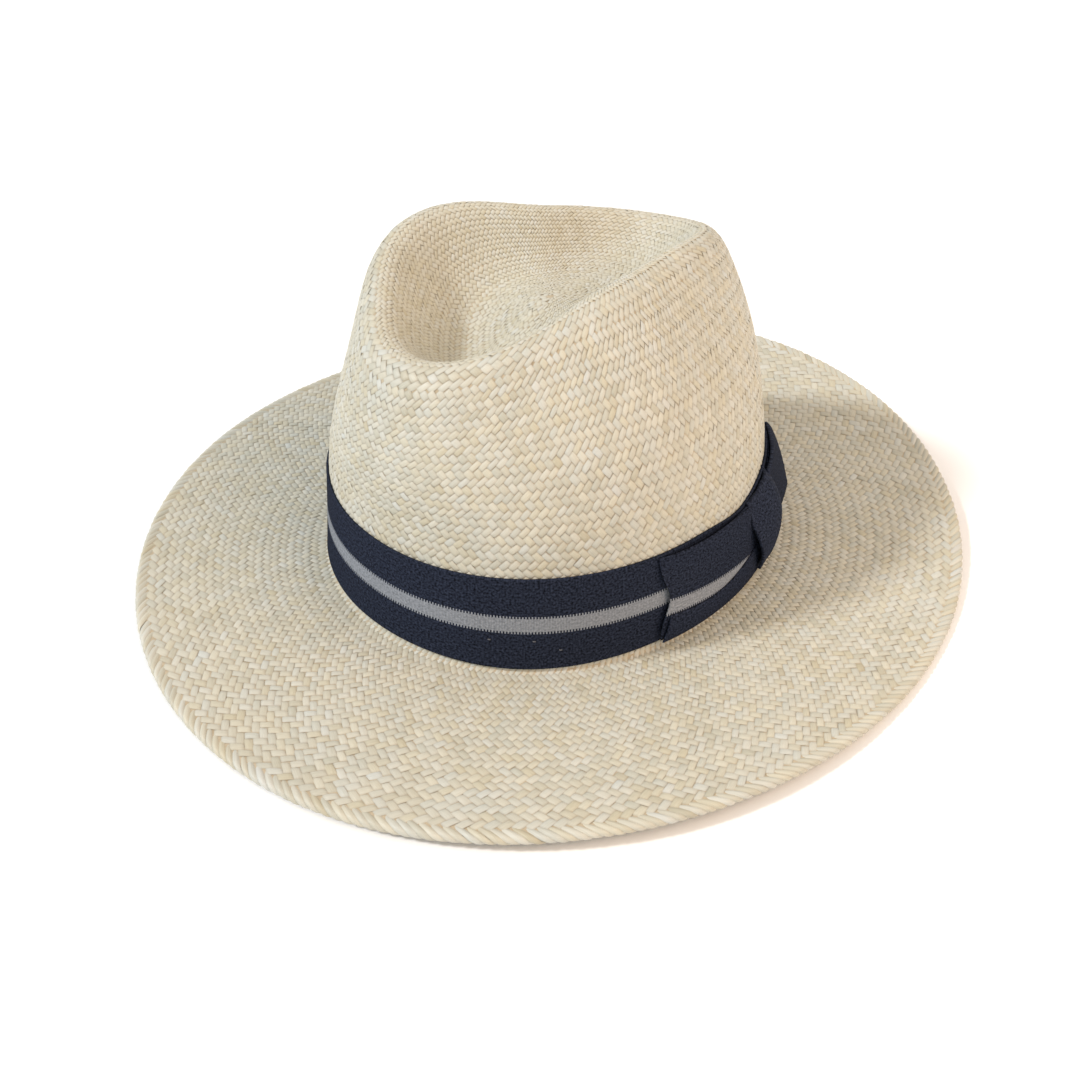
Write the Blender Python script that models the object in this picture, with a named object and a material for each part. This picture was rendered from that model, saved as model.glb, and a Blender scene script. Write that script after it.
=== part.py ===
"""A woven straw fedora with a teardrop crown, a striped ribbon, a flat side bow and a fitted sweatband.

Metres, +Z up, the front of the hat faces -Y and the wearer's left is +X. The origin is the centre of the
footprint, on the surface that the brim stands on. Angles run in radians from the front towards the
wearer's left, so a quarter turn is the left side of the head.
"""

import math

import bpy
import numpy as np

MM = 0.001

# Head oval where the crown meets the brim: a rounded ellipse
HALF_LENGTH = 96.0 * MM
HALF_WIDTH = 87.5 * MM
OVAL_POWER = 2.06

# Brim: its width round the hat, and how its edge rises and falls
BRIM_WIDTH = 80.0 * MM
BRIM_BACK_EXTRA = 5.0 * MM
BRIM_ENDS_EXTRA = 3.3 * MM
EDGE_SWEEP = 2.1 * MM
EDGE_WAVE = 3.2 * MM
BRIM_CURVE = 1.5
BRIM_SHARES = (1.0, 0.95, 0.78, 0.56, 0.34, 0.14)
TURN_OFFSET = 3.0 * MM

# Straw: one layer, doubled where the border is woven back over the edge
STRAW_THICKNESS = 1.4 * MM
BORDER_THICKNESS = 2.8 * MM
BORDER_WIDTH = 6.0 * MM
BORDER_TAPER = 2.0 * MM
SETTLED = 0.7 * MM
SETTLED_WIDTH = 24.0 * MM

# Crown wall, which leans in as it rises, and the ribbon round its foot
BREAK_HEIGHT = 3.4 * MM
WALL_LEAN = 0.105
WALL_STEPS = (0.0, 3.2 * MM, 8.0 * MM, 18.0 * MM, 30.0 * MM, 42.0 * MM, 54.0 * MM)
RIBBON_BOTTOM = 7.2 * MM
RIBBON_WIDTH = 38.0 * MM
RIBBON_THICKNESS = 0.8 * MM
GAP = 0.3 * MM

# Crest of the crown, floor of its dent and fullness of its wall, in millimetres, every 30 degrees
# from the front
CREST_RADII = (66, 52, 38, 34, 38, 56, 66, 50, 42, 53, 60, 62)
CREST_HEIGHTS = (107, 115, 124, 127, 128, 126, 118, 121, 125, 127, 121, 110)
FLOOR_HEIGHTS = (88, 98, 106, 108, 108, 107, 106, 107, 107, 101, 90, 84)
SHOULDER_WIDTHS = (16, 17, 21, 22, 20, 18, 17, 17, 17, 17, 14.5, 14)
WALL_BULGES = (4, 4, 5, 5, 5, 5, 5, 5, 5, 3, 0, 2)
BUTTON_HEIGHT = 109.0 * MM
SHOULDER_DROP = 14.0 * MM
CREST_OUTSIDE = 9.0 * MM
CREST_CROWNING = 4.0 * MM

# Bow: where its pieces start and end, in degrees from the front, and how far they stand out
FRONT_WING = (72.0, 105.0)
KNOT = (106.0, 122.0)
REAR_WING = (123.0, 145.0)
BACKING = (77.0, 149.0)
BACKING_INSET = 2.0 * MM
BOW_BOTTOM = RIBBON_BOTTOM + 1.3 * MM
BOW_TOP = RIBBON_BOTTOM + RIBBON_WIDTH - 0.6 * MM
CLOTH = 0.8 * MM
WING_DIP = 1.5 * MM
WING_FULLNESS = 0.8 * MM
REAR_WING_RISE = 5.5 * MM
REAR_WING_FLARE = 8.8 * MM
REAR_WING_OPENING = 1.6
REAR_WING_CURL = 0.65
KNOT_RISE = 2.0 * MM
KNOT_FULLNESS = 5.4 * MM

# Sweatband
SWEATBAND_BOTTOM = 4.6 * MM
SWEATBAND_TOP = 42.0 * MM
SWEATBAND_THICKNESS = 1.0 * MM
REED_RADIUS = 0.9 * MM
REED_HEIGHT = 3.0 * MM
REED_DEPTH = 3.6 * MM
THREAD_RADIUS = 0.3 * MM
THREAD_HEIGHT = 8.0 * MM
SMALL_BOW = (172.0, 188.0)
SMALL_BOW_HEIGHT = 18.0 * MM
SMALL_BOW_THICKNESS = 1.2 * MM
LABEL = (174.5, 185.5)
LABEL_HEIGHTS = (27.0 * MM, 38.0 * MM)
LABEL_THICKNESS = 0.4 * MM

# Tack stitches on the ribbon: degrees from the front, and height
TACKS = ((31.0, 18.5 * MM), (41.0, 18.5 * MM), (47.0, 14.0 * MM))
TACK_DEGREES = 1.0
TACK_WIDTH = 0.5 * MM
TACK_THICKNESS = 0.4 * MM

COLUMNS = 64
ROWS = 38


def around(values, angle):
    """A smooth closed curve through evenly spaced values, read at the given angles."""
    waves = np.fft.rfft(np.asarray(values, float)) / len(values)
    total = np.full_like(angle, waves[0].real)
    for order in range(1, len(waves)):
        share = 1 if 2 * order == len(values) else 2
        turn = order * angle
        total += share * (waves[order].real * np.cos(turn) - waves[order].imag * np.sin(turn))
    return total


def oval_radius(angle):
    across = np.abs(np.sin(angle) / HALF_WIDTH) ** OVAL_POWER
    along = np.abs(np.cos(angle) / HALF_LENGTH) ** OVAL_POWER
    return (across + along) ** (-1 / OVAL_POWER)


def oval(angle):
    """Points of the head oval and their outward normals, centred on the crown."""
    step = 1e-4
    radius = oval_radius(angle)
    slope = (oval_radius(angle + step) - oval_radius(angle - step)) / (2 * step)
    sine, cosine = np.sin(angle), np.cos(angle)
    point = np.stack([radius * sine, -radius * cosine], -1)
    normal = np.stack([radius * sine - slope * cosine, -radius * cosine - slope * sine], -1)
    return point, normal / np.linalg.norm(normal, axis=-1, keepdims=True)


def from_oval(angle, offset, height):
    """Points at an offset outside the head oval, moved so that the footprint's centre is the origin."""
    point, normal = oval(angle)
    flat = point + normal * np.asarray(offset)[..., None]
    flat = flat - np.array([0.0, BRIM_BACK_EXTRA])
    height = np.broadcast_to(height, angle.shape)
    return np.concatenate([flat, height[..., None]], -1)


def from_axis(angle, radius, height):
    """Points at a distance from the crown's upright axis."""
    across = radius * np.sin(angle)
    along = -radius * np.cos(angle) - BRIM_BACK_EXTRA
    return np.stack([across, along, np.broadcast_to(height, angle.shape)], -1)


def brim_width(angle):
    return BRIM_WIDTH - BRIM_BACK_EXTRA * np.cos(angle) + BRIM_ENDS_EXTRA * np.cos(2 * angle)


def edge_rise(angle):
    sweep = EDGE_SWEEP * (np.cos(2 * angle) - np.cos(angle))
    return sweep - EDGE_WAVE * np.cos(3 * angle)


LOWEST_EDGE = float(edge_rise(np.linspace(0, math.tau, 1440)).min())


def edge_height(angle):
    """Height of the upper surface at the brim's edge."""
    return edge_rise(angle) - LOWEST_EDGE + BORDER_THICKNESS


def wall_offset(height):
    """How far the crown's lower wall stands outside the head oval at a height; below zero is inside."""
    return -WALL_LEAN * (height - BREAK_HEIGHT)


def brim_controls(angle):
    rise = edge_height(angle) - BREAK_HEIGHT
    return [
        from_oval(angle, share * brim_width(angle), BREAK_HEIGHT + rise * share**BRIM_CURVE)
        for share in BRIM_SHARES
    ]


def wall_controls(angle):
    turn = [from_oval(angle, np.full_like(angle, TURN_OFFSET), BREAK_HEIGHT)]
    heights = [BREAK_HEIGHT + step for step in WALL_STEPS]
    return turn + [from_oval(angle, np.full_like(angle, wall_offset(z)), z) for z in heights]


def crown_controls(angle):
    """From the upper wall over the crest and down into the dent, ending at the button."""
    crest = around(CREST_RADII, angle) * MM
    top = around(CREST_HEIGHTS, angle) * MM
    floor = around(FLOOR_HEIGHTS, angle) * MM
    wall_top = oval_radius(angle) + wall_offset(BREAK_HEIGHT + WALL_STEPS[-1])
    shoulder = crest + around(SHOULDER_WIDTHS, angle) * MM
    middle_height = (BREAK_HEIGHT + WALL_STEPS[-1] + top - SHOULDER_DROP) / 2
    middle = (wall_top + shoulder) / 2 + around(WALL_BULGES, angle) * MM
    near_button = BUTTON_HEIGHT - 0.5 * MM
    return [
        from_axis(angle, middle, middle_height),
        from_axis(angle, shoulder, top - SHOULDER_DROP),
        from_axis(angle, crest + CREST_OUTSIDE, top + 1 * MM),
        from_axis(angle, crest - 1 * MM, top + CREST_CROWNING),
        from_axis(angle, crest * 0.83, top * 0.55 + floor * 0.45),
        from_axis(angle, crest * 0.58, floor),
        from_axis(angle, crest * 0.30, (floor + near_button) / 2),
        from_axis(angle, crest * 0.12, near_button),
        from_axis(angle, crest * 0.0, BUTTON_HEIGHT),
    ]


def straw_surface(angle, place):
    """The hat's upper and outer surface: place runs from 0 at the brim's edge to 1 at the button."""
    net = np.stack(brim_controls(angle) + wall_controls(angle) + crown_controls(angle), 0)
    net = np.concatenate([2 * net[:1] - net[1:2], net, 2 * net[-1:] - net[-2:-1]])
    along = np.clip(place, 0, 1) * (len(net) - 3)
    span = np.minimum(along.astype(int), len(net) - 4)
    t = (along - span)[..., None]
    column = np.arange(len(angle))
    near = [net[span + k, column] for k in range(4)]
    blend = (
        (1 - t) ** 3,
        3 * t**3 - 6 * t**2 + 4,
        -3 * t**3 + 3 * t**2 + 3 * t + 1,
        t**3,
    )
    return sum(weight * point for weight, point in zip(blend, near)) / 6


def straw_rings():
    """Outer and inner grids of the straw, ring by ring from the brim's edge to the button."""
    angle = np.arange(COLUMNS) * math.tau / COLUMNS
    places = np.linspace(0, 1, ROWS + 1)[:-1]
    outer = np.stack([straw_surface(angle, np.full(COLUMNS, place)) for place in places])
    step = 1e-3
    further = np.stack([straw_surface(angle, np.full(COLUMNS, place + step)) for place in places])
    turned = np.stack([straw_surface(angle + step, np.full(COLUMNS, place)) for place in places])
    normal = np.cross(turned - outer, further - outer)
    normal /= np.linalg.norm(normal, axis=-1, keepdims=True)
    from_edge = np.linalg.norm(outer - outer[:1], axis=-1)
    doubled = np.clip((BORDER_WIDTH + BORDER_TAPER - from_edge) / BORDER_TAPER, 0, 1)
    thickness = STRAW_THICKNESS + (BORDER_THICKNESS - STRAW_THICKNESS) * doubled
    inner = outer - normal * thickness[..., None]
    inner[..., 2] = np.where(
        from_edge < SETTLED_WIDTH, np.maximum(inner[..., 2] - SETTLED, 0), inner[..., 2]
    )
    return outer, inner


def straw_button():
    angle = np.zeros(1)
    top = straw_surface(angle, np.ones(1))[0]
    return top, top - np.array([0, 0, STRAW_THICKNESS])


def add_object(name, points, faces, material):
    mesh = bpy.data.meshes.new(name)
    mesh.from_pydata([tuple(point) for point in points], [], faces)
    mesh.validate()
    mesh.update()
    mesh.materials.append(material)
    mesh.shade_smooth()
    item = bpy.data.objects.new(name, mesh)
    bpy.context.scene.collection.objects.link(item)
    return item


def plain_material(name, colour, roughness):
    material = bpy.data.materials.new(name)
    material.use_nodes = True
    shader = material.node_tree.nodes["Principled BSDF"]
    shader.inputs["Base Color"].default_value = (*colour, 1)
    shader.inputs["Roughness"].default_value = roughness
    return material


def ring_faces(rows, columns, closed_rows):
    """Quads of a grid that closes round its columns and, if asked, round its rows too."""
    faces = []
    last = rows if closed_rows else rows - 1
    for row in range(last):
        after = (row + 1) % rows
        for column in range(columns):
            beside = (column + 1) % columns
            faces.append(
                (
                    row * columns + column,
                    row * columns + beside,
                    after * columns + beside,
                    after * columns + column,
                )
            )
    return faces


def straw_body(material):
    outer, inner = straw_rings()
    top, below = straw_button()
    edge_out = (outer[0] + inner[0]) / 2 + (outer[0] - outer[1]) * 0.06
    loops = np.concatenate([inner[::-1], edge_out[None], outer])
    points = np.concatenate([loops.reshape(-1, 3), top[None], below[None]])
    faces = ring_faces(len(loops), COLUMNS, False)
    button, under = len(points) - 2, len(points) - 1
    last = (len(loops) - 1) * COLUMNS
    for column in range(COLUMNS):
        beside = (column + 1) % COLUMNS
        faces.append((last + column, last + beside, button))
        faces.append((beside, column, under))
    return add_object("straw_body", points, faces, material)


def band(name, sections, material):
    """A closed ring from loops of points, one loop for each corner of its cross-section in order."""
    points = np.concatenate(sections)
    faces = ring_faces(len(sections), len(sections[0]), True)
    return add_object(name, points, faces, material)


def upright_band(name, bottom, top, inside, outside, material, rows=4):
    """A ring that follows the crown's wall, between two offsets from it."""
    angle = np.arange(COLUMNS) * math.tau / COLUMNS
    heights = np.linspace(bottom, top, rows)
    outer = [from_oval(angle, np.full(COLUMNS, wall_offset(z) + outside), z) for z in heights]
    inner = [from_oval(angle, np.full(COLUMNS, wall_offset(z) + inside), z) for z in heights]
    return band(name, outer + inner[::-1], material)


def cord_ring(name, offset, height, radius, material, sides=6):
    angle = np.arange(COLUMNS) * math.tau / COLUMNS
    loops = []
    for side in range(sides):
        turn = math.tau * side / sides
        sideways = np.full(COLUMNS, offset + radius * math.cos(turn))
        loops.append(from_oval(angle, sideways, height + radius * math.sin(turn)))
    return band(name, loops, material)


def patch(name, degrees, heights, inside, outside, material, columns=12, rows=6):
    """A curved slab against the crown's wall. Heights and offsets are functions of the share along it."""
    share = np.linspace(0, 1, columns + 1)
    angle = np.radians(degrees[0] + (degrees[1] - degrees[0]) * share)
    low, high = heights(share)
    loops = []
    for depth in (outside, inside):
        rise = np.linspace(0, 1, rows + 1)
        grid = [
            from_oval(
                angle,
                wall_offset(low + (high - low) * level) + depth(share, level),
                low + (high - low) * level,
            )
            for level in rise
        ]
        loops.append(np.stack(grid))
    outer, inner = loops
    points = np.concatenate([outer.reshape(-1, 3), inner.reshape(-1, 3)])
    return add_object(name, points, slab_faces(rows + 1, columns + 1), material)


def slab_faces(rows, columns):
    """Faces of two grids, the first facing outwards, joined round their borders."""
    back = rows * columns
    faces = []
    for row in range(rows - 1):
        for column in range(columns - 1):
            a = row * columns + column
            quad = (a, a + 1, a + columns + 1, a + columns)
            faces.append(quad)
            faces.append(tuple(back + corner for corner in reversed(quad)))
    bottom = list(range(columns))
    right = [row * columns + columns - 1 for row in range(1, rows)]
    top = [(rows - 1) * columns + column for column in range(columns - 2, -1, -1)]
    left = [row * columns for row in range(rows - 2, 0, -1)]
    border = bottom + right + top + left
    for a, b in zip(border, border[1:] + border[:1]):
        faces.append((b, a, back + a, back + b))
    return faces


def even_heights(low, high):
    return lambda share: (np.full_like(share, low), np.full_like(share, high))


def even_depth(depth):
    return lambda share, level: np.full_like(share, depth)


def bow(material):
    ribbon_face = GAP + RIBBON_THICKNESS
    backing_in = ribbon_face + GAP
    backing_out = backing_in + CLOTH
    cloth_in = backing_out + GAP

    patch(
        "bow_backing",
        BACKING,
        even_heights(BOW_BOTTOM + BACKING_INSET, BOW_TOP - BACKING_INSET),
        even_depth(backing_in),
        even_depth(backing_out),
        material,
    )

    def front_wing_heights(share):
        return np.full_like(share, BOW_BOTTOM), BOW_TOP - WING_DIP * (np.sin(math.pi * share) + share**4)

    def front_wing_face(share, level):
        return cloth_in + 2 * CLOTH + WING_FULLNESS * np.sin(math.pi * level) * (1 - share)

    patch(
        "bow_front_wing",
        FRONT_WING,
        front_wing_heights,
        even_depth(cloth_in),
        front_wing_face,
        material,
        columns=14,
    )

    def rear_wing_heights(share):
        return BOW_BOTTOM + REAR_WING_RISE * share, BOW_TOP - WING_DIP * share

    def rear_wing_back(share, level):
        """The wing's free end hangs away from the crown at its lower corner."""
        return cloth_in + REAR_WING_FLARE * share**REAR_WING_OPENING * (1 - level) ** REAR_WING_CURL

    def rear_wing_face(share, level):
        return rear_wing_back(share, level) + 2 * CLOTH + 0.5 * WING_FULLNESS * np.sin(math.pi * level)

    patch(
        "bow_rear_wing",
        REAR_WING,
        rear_wing_heights,
        rear_wing_back,
        rear_wing_face,
        material,
        columns=14,
    )

    def knot_face(share, level):
        rounded = np.sqrt(np.abs(np.sin(math.pi * share)))
        pinched = np.abs(np.sin(math.pi * (0.15 + 0.7 * level)))
        return cloth_in + 2 * CLOTH + KNOT_FULLNESS * rounded * pinched

    patch(
        "bow_knot",
        KNOT,
        even_heights(BOW_BOTTOM + KNOT_RISE, BOW_TOP),
        even_depth(cloth_in),
        knot_face,
        material,
    )


def sweatband(leather, cord, thread):
    outside = -(STRAW_THICKNESS + 2 * GAP)
    inside = outside - SWEATBAND_THICKNESS
    upright_band("sweatband", SWEATBAND_BOTTOM, SWEATBAND_TOP, inside, outside, leather)
    cord_ring("sweatband_reed", -REED_DEPTH, REED_HEIGHT, REED_RADIUS, cord)
    thread_offset = wall_offset(THREAD_HEIGHT) + inside - GAP - THREAD_RADIUS
    cord_ring("sweatband_stitching", thread_offset, THREAD_HEIGHT, THREAD_RADIUS, thread, 4)
    return inside


def inner_trim(inside, ribbon, label):
    """The small bow that covers the sweatband's back seam, and a plain label above it."""

    def bow_heights(share):
        half = (2.0 + 3.5 * np.abs(2 * share - 1)) * MM
        return SMALL_BOW_HEIGHT - half, SMALL_BOW_HEIGHT + half

    patch(
        "sweatband_rear_bow",
        SMALL_BOW,
        bow_heights,
        even_depth(inside - GAP - SMALL_BOW_THICKNESS),
        even_depth(inside - GAP),
        ribbon,
        columns=8,
        rows=2,
    )
    patch(
        "size_label",
        LABEL,
        even_heights(*LABEL_HEIGHTS),
        even_depth(inside - GAP - LABEL_THICKNESS),
        even_depth(inside - GAP),
        label,
        columns=4,
        rows=2,
    )


def tack_stitches(thread):
    """Three short stitches that hold the ribbon's lower edge to the straw."""
    start = GAP + RIBBON_THICKNESS + GAP
    for number, (degrees, height) in enumerate(TACKS, 1):
        patch(
            f"ribbon_tack_{number}",
            (degrees, degrees + TACK_DEGREES),
            even_heights(height, height + TACK_WIDTH),
            even_depth(start),
            even_depth(start + TACK_THICKNESS),
            thread,
            columns=2,
            rows=1,
        )


def build():
    for item in list(bpy.data.objects):
        bpy.data.objects.remove(item, do_unlink=True)
    straw = plain_material("straw", (0.80, 0.72, 0.52), 0.6)
    grosgrain = plain_material("grosgrain", (0.014, 0.018, 0.032), 0.7)
    leather = plain_material("leather", (0.62, 0.45, 0.27), 0.5)
    cord = plain_material("cord", (0.55, 0.40, 0.24), 0.5)
    thread = plain_material("thread", (0.75, 0.68, 0.52), 0.7)
    label = plain_material("label", (0.85, 0.83, 0.78), 0.8)

    straw_body(straw)
    upright_band(
        "hatband",
        RIBBON_BOTTOM,
        RIBBON_BOTTOM + RIBBON_WIDTH,
        GAP,
        GAP + RIBBON_THICKNESS,
        grosgrain,
    )
    bow(grosgrain)
    inside = sweatband(leather, cord, thread)
    inner_trim(inside, grosgrain, label)
    tack_stitches(thread)


build()
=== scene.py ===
"""The looks of a woven straw fedora: its weave, border, ribbon, bow, sweatband, lights and camera.

Metres, +Z up. The front of the hat faces -Y and the wearer's left is +X. Angles run in radians from the
front towards the wearer's left. Distances along the straw run from the brim's edge, over the brim, up the
crown and down into the dent, to the button in its middle.
"""

import math
from collections import namedtuple

import bpy
import numpy as np
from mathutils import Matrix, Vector


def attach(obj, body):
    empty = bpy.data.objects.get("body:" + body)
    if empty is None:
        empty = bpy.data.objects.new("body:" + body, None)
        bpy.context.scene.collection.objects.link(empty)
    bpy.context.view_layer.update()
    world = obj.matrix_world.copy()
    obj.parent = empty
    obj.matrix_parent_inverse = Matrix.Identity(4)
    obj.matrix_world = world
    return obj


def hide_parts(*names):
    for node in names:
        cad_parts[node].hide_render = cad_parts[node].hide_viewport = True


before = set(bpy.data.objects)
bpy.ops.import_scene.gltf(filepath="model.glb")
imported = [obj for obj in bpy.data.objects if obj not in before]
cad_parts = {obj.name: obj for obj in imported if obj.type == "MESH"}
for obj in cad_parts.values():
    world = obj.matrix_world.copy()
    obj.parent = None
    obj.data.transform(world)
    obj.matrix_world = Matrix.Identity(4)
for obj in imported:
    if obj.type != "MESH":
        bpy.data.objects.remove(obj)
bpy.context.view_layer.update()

MM = 0.001

# Head oval, where the crown meets the brim
HALF_LENGTH = 96.0 * MM
HALF_WIDTH = 87.5 * MM
OVAL_POWER = 2.06

# Brim: its width round the hat, and how its edge rises and falls
BRIM_WIDTH = 80.0 * MM
BRIM_BACK_EXTRA = 5.0 * MM
BRIM_ENDS_EXTRA = 3.3 * MM
EDGE_SWEEP = 2.1 * MM
EDGE_WAVE = 3.2 * MM
EDGE_SAMPLES = 1440
BRIM_CURVE = 1.5
BRIM_SHARES = (1.0, 0.95, 0.78, 0.56, 0.34, 0.14)
TURN_OFFSET = 3.0 * MM

# Straw: one layer, doubled where the border is woven back over the edge
STRAW_THICKNESS = 1.4 * MM
BORDER_THICKNESS = 2.8 * MM

# Crown wall, which leans in as it rises
BREAK_HEIGHT = 3.4 * MM
WALL_LEAN = 0.105
WALL_STEPS = (0.0, 3.2 * MM, 8.0 * MM, 18.0 * MM, 30.0 * MM, 42.0 * MM, 54.0 * MM)

# Crest of the crown, floor of its dent and fullness of its wall, in millimetres, every 30 degrees
# from the front
CREST_RADII = (66, 52, 38, 34, 38, 56, 66, 50, 42, 53, 60, 62)
CREST_HEIGHTS = (107, 115, 124, 127, 128, 126, 118, 121, 125, 127, 121, 110)
FLOOR_HEIGHTS = (88, 98, 106, 108, 108, 107, 106, 107, 107, 101, 90, 84)
SHOULDER_WIDTHS = (16, 17, 21, 22, 20, 18, 17, 17, 17, 17, 14.5, 14)
WALL_BULGES = (4, 4, 5, 5, 5, 5, 5, 5, 5, 3, 0, 2)
SHOULDER_DROP = 14.0 * MM
BUTTON_HEIGHT = 109.0 * MM
BUTTON_DIP = 0.5 * MM

# The two rings that roll the straw over the crest: offsets from its radius and from its height
CREST_OUTSIDE = (9.0 * MM, 1.0 * MM)
CREST_INSIDE = (-1.0 * MM, 4.0 * MM)

# Dent, from the crest inwards: shares of the crest's radius, and of its height halfway down
DENT_WALL, DENT_FOOT, DENT_FLOOR, BUTTON_RIM = 0.83, 0.58, 0.30, 0.12
DENT_WALL_RISE = 0.55

# The straw's table of points
ANGLES = 720
PLACES = 1100

# Where the table is averaged at the crest: places each way, and spans from the button and around it
CREST_REACH = 14
CREST_SPANS = 5.5
CREST_SPREAD = 1.8

# Weave: half-rings of floats, each float lying at 45 degrees over crossing strands
BRIM_COLUMNS = 240
CROWN_COLUMNS = (168, 126, 84, 56, 42, 28, 21, 14, 7)
ROW_HEIGHT = 3.3 * MM
DENT_ROW_HEIGHT = 2.0 * MM
CLOSEST_PITCH = 0.76
WEAVE_CHANGE_SPANS = 2.5
FIRST_ROW = 4.4 * MM
BUTTON_MARGIN = 1.5 * MM
WALL_ROW_NUMBER = 100

# A float: a flat-topped pillow whose ends dip under its neighbours
FLOAT_LENGTH = 1.04
FLOAT_WIDTH = 1.11
FLOAT_LIFT = 0.27 * MM
FLOAT_DIP = 1.8
FLOAT_ROUND = 0.26 * MM
OUTSIDE_ALONG = (-1.0, -0.8, -0.35, 0.35, 0.8, 1.0)
OUTSIDE_ACROSS = (-1.0, -0.66, 0.66, 1.0)
INSIDE_ALONG = (-1.0, -0.6, 0.6, 1.0)
INSIDE_ACROSS = (-1.0, 0.0, 1.0)
DIP_POWER = 6
ROUND_POWER = 4

# Half-rings lean one way and the other by turns: the lean, and a float's middle in its column
RISING = (1, 0.25)
FALLING = (-1, 0.75)

# How much floats differ, and the painted warm light on the dent's outer side, which makes its straw lighter
# and warmer
WIDTH_SPREAD = 0.05
LENGTH_SPREAD = 0.025
TWIST_SPREAD = 0.03
SHIFT_SPREAD = 0.015
LIFT_SPREAD = 0.035 * MM
TILT_SPREAD = 0.05 * MM
TONE_SPREAD = 0.08
STRAND_TONE = 0.34
DENT_PAINTED_LIGHT_TONE = 0.10
DENT_PAINTED_LIGHT_TINT = 0.6
FALLING_SEED = 0
RISING_SEED = 7
INSIDE_SEED = 1000

# The layer under the floats
BASE_DEPTH = 0.10 * MM
BASE_EDGE = 1.4 * MM
BASE_COLUMNS = 240
BASE_BRIM_RINGS = 40
BASE_CROWN_RINGS = 70

# Border: strand ends wrapped over the brim's edge
BORDER_REACH = 5.0 * MM
BORDER_WRAPS = 290
WRAP_SLANT = 3.6
WRAP_HALF_WIDTH = 0.56
WRAP_CROWN = 0.60 * MM
WRAP_DIP = 0.55 * MM
WRAP_SINK = 0.14 * MM
WRAP_END_SHARE = 1 / 6
WRAP_WIDTH_SPREAD = 0.06
WRAP_SHIFT_SPREAD = 0.03
WRAP_LIFT_SPREAD = 0.05 * MM
WRAP_TONE_SPREAD = 0.16
WRAP_SHADE = (0.15, 0.7)
WRAP_SEED = 5
WRAP_COLUMNS = 5
BORDER_FLAT_POINTS = 5
BORDER_TURN_POINTS = 5
OUTWARD_STEP = 2.0 * MM

# Ribbon round the crown's foot; levels run from 0 at its lower edge to 1 at its upper edge
RIBBON_BOTTOM = 7.2 * MM
RIBBON_WIDTH = 38.0 * MM
RIBBON_THICKNESS = 0.8 * MM
RIBBON_LEVELS = np.array([0, 0.012, 0.04, 0.2, 0.4, 0.6, 0.8, 0.96, 0.988, 1.0])
GAP = 0.3 * MM
SELVEDGE = 0.10 * MM
SELVEDGE_LEVEL = 0.95
SLACK = 0.12 * MM
SLACK_WAVES = 5
SLACK_TWIST = 3
EDGE_WAVER = 0.10 * MM
EDGE_WAVES = 9

# The ribbon's lower edge sags at the front, and its upper edge is drawn down under the bow
SAG = 1.5 * MM
SAG_ANGLE = 42.0
SAG_SPREAD = 22.0
SQUEEZE = 2.6 * MM
SQUEEZE_ANGLE = 103.0
SQUEEZE_SPREAD = 10.0

# Grosgrain: ribs across the ribbon and a stripe along it
RIB_PITCH = 0.60 * MM
RIB_DEPTH = 0.09 * MM
COLUMNS_PER_RIB = 4
RIBS_PER_UNIT = 1000.0
STRIPE = (0.427, 0.597)
STRIPE_STEP = 0.024
PLAIN_LEVEL = 0.1
PLAIN_REACH = 0.4

# Bow: where its pieces start and end, in degrees from the front, and how they lie
CLOTH = 0.8 * MM
BOW_BOTTOM = RIBBON_BOTTOM + 1.3 * MM
BOW_TOP = RIBBON_BOTTOM + RIBBON_WIDTH - 0.6 * MM
BACKING = (77.0, 149.0)
BACKING_DEPTH = GAP + RIBBON_THICKNESS + GAP
BACKING_INSET = 2.0 * MM
BACKING_DROP = 3.0 * MM
BACKING_END_RISE = 3.2 * MM
BACKING_GRID = (860, 14)
BOW_DEPTH = BACKING_DEPTH + CLOTH + GAP

# Front wing, whose inner end is tucked under the knot
TUCK = 1.18
PANEL = (72.0, 114.0)
PANEL_NOTCH = 2.6
PANEL_NOTCH_SPREAD = 0.24
PANEL_NARROWING = 1.3 * MM
PANEL_PINCH = 2.8 * MM
PANEL_FULLNESS = 0.5 * MM
PANEL_CORNER = 1.3 * MM
PANEL_STRIPE_DROP = 0.107
PANEL_STRIPE_SLOPE = 0.15
PANEL_GRID = (460, 30)
PLEAT = (72.0, 114.5)
PLEAT_SLANT = 2.5
PLEAT_HEIGHT = 11.0 * MM
PLEAT_RISE = 1.0 * MM
PLEAT_DIP = 3.2 * MM
PLEAT_DROP = 0.2 * MM
PLEAT_DEPTH = 0.9 * MM
PLEAT_PUFF = 0.9 * MM
PLEAT_ARCH = (0.1, 0.85)
PLEAT_LEVELS = (0.02, 0.3)
PLEAT_GRID = (460, 16)
WING_CLOTH = 0.7 * CLOTH

# Rear wing, which stands away from the crown at its lower corner
REAR_WING = (121.5, 145.0)
REAR_WING_SLANT = 3.0
REAR_WING_RISE = 5.5 * MM
REAR_WING_DROP = 1.5 * MM
REAR_WING_FLARE = 8.8 * MM
REAR_WING_OPENING = 1.6
REAR_WING_CURL = 0.65
REAR_WING_FULLNESS = 0.4 * MM
REAR_WING_CLOTH = 1.5 * CLOTH
REAR_WING_DEPTH = BOW_DEPTH + 1.6 * CLOTH
REAR_WING_TOP_CLOSING = 12
REAR_WING_END_CLOSING = 16
REAR_WING_GRID = (290, 30)

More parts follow.
